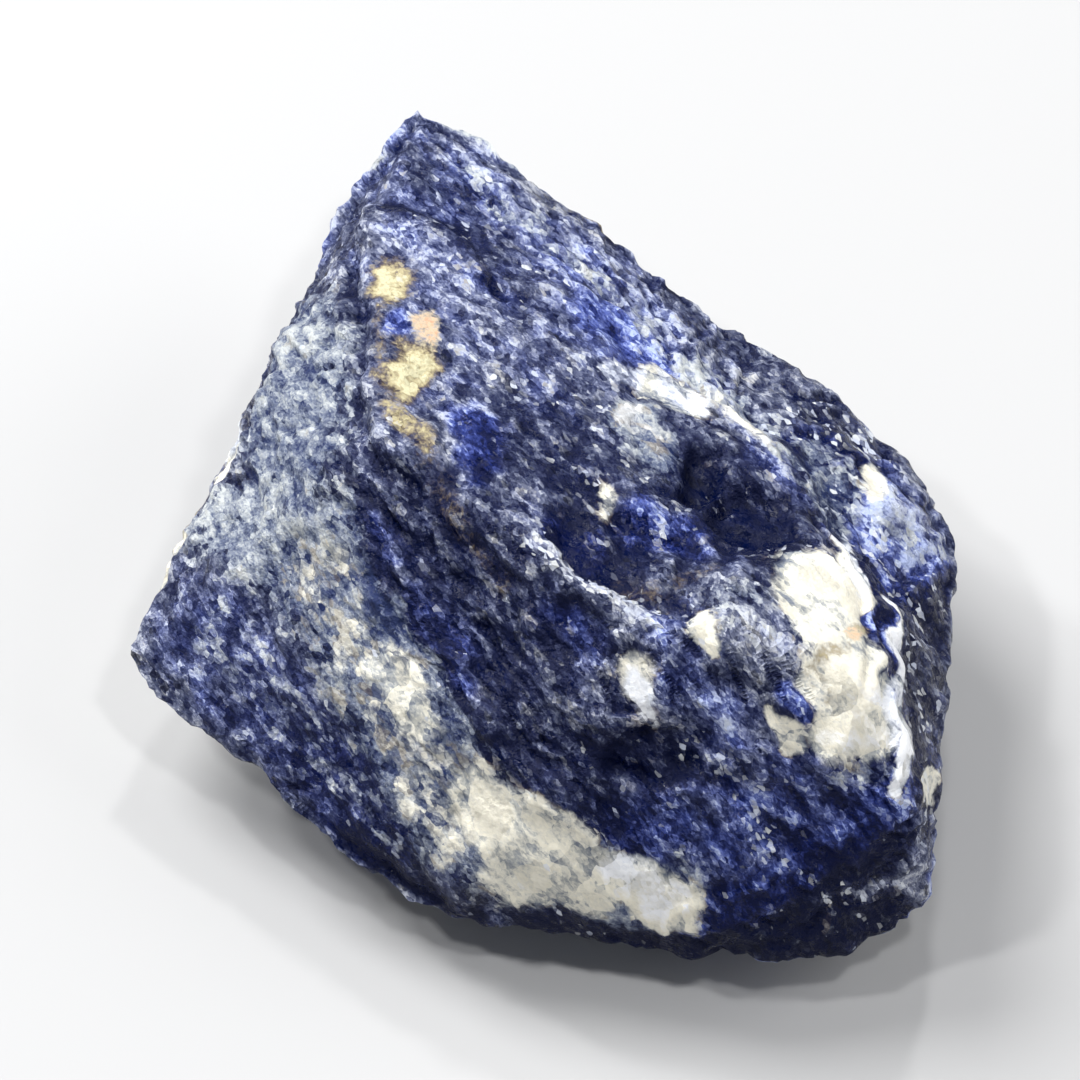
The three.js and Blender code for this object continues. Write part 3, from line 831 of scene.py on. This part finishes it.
colour = colour.mixed(cream, ivory.mixed(whiter, snow))

# Ochre and rose spots, paler towards their ragged edges.
ragged_edge = uneven * 0.3 + grain * 0.8 + cloud * 0.6


def spot(name):
    """The share of a spot, moved up and down by the grains wherever there is any of it."""
    return share_of(name) + ragged_edge * share_of(name).eased(0.0, 0.25)


stain = spot("ochre")
ochre = stain.ramp((0.2, (0.05, 0.04, 0.045)), (0.5, (0.17, 0.13, 0.08)),
                   (0.8, (0.46, 0.40, 0.24)), (1.0, (0.62, 0.58, 0.38)))
colour = colour.mixed(stain.eased(0.1, 0.8), ochre)
blush = spot("rose")
rosy = blush.ramp((0.4, (0.50, 0.46, 0.35)), (0.75, (0.62, 0.45, 0.31)),
                  (1.0, (0.64, 0.32, 0.20)))
colour = colour.mixed(blush.eased(0.15, 0.75), rosy)

# Painted glints: single grains made pale, more of them where crystal faces glitter.
painted_glint = part_of(small_crystal, "Blue") + wisp * 0.9 + cloud * 1.2 + share_of("glitter") * 0.15
painted_glint_colour = part_of(small_crystal, "Red").ramp((0.2, (0.60, 0.65, 0.78)),
                                                  (0.8, (0.68, 0.70, 0.70)))
colour = colour.mixed(painted_glint.eased(1.05, 1.35) * 0.8, painted_glint_colour)

# Grain faces lean each their own way, and some are glassy. The cream feldspar is smoother.
GRAIN_RELIEF = 0.22 * MM
pebbled = cloud * 1.25 + grain * 0.8
pebbled = {"Strength": 1 - cream * 0.6, "Distance": GRAIN_RELIEF, "Height": pebbled}
normal = graph.node("ShaderNodeBump", {}, pebbled, "Normal")
fine_lean = 1 - cream * 0.8
leans = [(crystal, fine_lean * 0.28), (small_crystal, fine_lean * 0.32), (spar, cream * 0.55)]
for random_colour, amount in leans:
    lean = vector("SCALE", vector("SUBTRACT", random_colour, middle), Scale=amount)
    normal = vector("ADD", normal, lean)
normal = vector("NORMALIZE", normal)
glassy = part_of(crystal, "Blue") * 0.5 + part_of(small_crystal, "Red") * 0.7 + wisp * 0.8
glassy = (glassy + share_of("glitter") * 0.25).eased(0.62, 0.8)
rough = 0.62 - glassy * 0.5

SODALITE_IOR = 1.48
DULL_SHINE = 0.17
for socket, value in {"Base Color": colour, "Roughness": rough, "Normal": normal}.items():
    tree.links.new(value.socket, surface_shader.inputs[socket])
surface_shader.inputs["IOR"].default_value = SODALITE_IOR
surface_shader.inputs["Specular IOR Level"].default_value = DULL_SHINE
mesh.materials.append(material)

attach(stone, "root")
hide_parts("sodalite_stone")


# ---------------------------------------------------------------------------------------------
# The stage: a plain pale floor, a soft lamp overhead, a soft lamp on the right, four small ones
# that make the grains glint, and a camera that looks down at the show side.
# ---------------------------------------------------------------------------------------------

FLOOR_SIDE = 3.0
PALE_GREY = (0.5, 0.5, 0.5, 1)
STONE_MIDDLE = (0, 0, 0.01)
floor_mesh = bpy.data.meshes.new("floor")
half_side = FLOOR_SIDE / 2
floor_corners = [(-half_side, -half_side, 0), (half_side, -half_side, 0),
                 (half_side, half_side, 0), (-half_side, half_side, 0)]
floor_mesh.from_pydata(floor_corners, [], [(0, 1, 2, 3)])
floor = bpy.data.objects.new("floor", floor_mesh)
bpy.context.scene.collection.objects.link(floor)
floor_material = bpy.data.materials.new("pale_floor")
floor_material.use_nodes = True
floor_shader = floor_material.node_tree.nodes["Principled BSDF"]
floor_shader.inputs["Base Color"].default_value = PALE_GREY
floor_shader.inputs["Roughness"].default_value = 0.8
floor_mesh.materials.append(floor_material)


def aimed(obj, at, target):
    """Puts a lamp or camera at a place, turned to look at another."""
    look = np.subtract(target, at)
    obj.location = at
    across = np.hypot(look[0], look[1])
    obj.rotation_euler = (np.arctan2(across, -look[2]), 0, np.arctan2(-look[0], look[1]))
    bpy.context.scene.collection.objects.link(obj)


def lamp(name, at, size, watts):
    """A round lamp of a size across, aimed at the stone."""
    light = bpy.data.lights.new(name, "AREA")
    light.shape = "DISK"
    light.size = size
    light.energy = watts
    aimed(bpy.data.objects.new(name, light), at, STONE_MIDDLE)


GLINT_PLACES = [(-0.25, -0.1, 0.5), (0.12, -0.2, 0.55), (0.05, 0.3, 0.5), (-0.35, 0.2, 0.3)]
lamp("overhead", (-0.25, 0.2, 0.5), 0.3, 3.1)
for at in GLINT_PLACES:
    lamp("glint", at, 0.05, 0.75)
lamp("fill", (0.5, 0, 0.35), 0.5, 1.5)
world = bpy.data.worlds.new("studio")
world.use_nodes = True
world.node_tree.nodes["Background"].inputs["Color"].default_value = (0.85, 0.88, 0.95, 1)
world.node_tree.nodes["Background"].inputs["Strength"].default_value = 0.22
bpy.context.scene.world = world

VIEW_WIDTH = 0.062  # across the stone, at its middle
CAMERA_DISTANCE = 1.2
SHOW_MIDDLE = np.array([-0.0002, -0.0015, 0.0125])
camera = bpy.data.cameras.new("camera")
camera.lens = camera.sensor_width * CAMERA_DISTANCE / VIEW_WIDTH
camera.clip_start = 0.01
camera_object = bpy.data.objects.new("camera", camera)
aimed(camera_object, SHOW_MIDDLE + CAMERA_DISTANCE * SHOW_OUT, SHOW_MIDDLE)
bpy.context.scene.camera = camera_object
bpy.context.scene.view_settings.view_transform = "Standard"
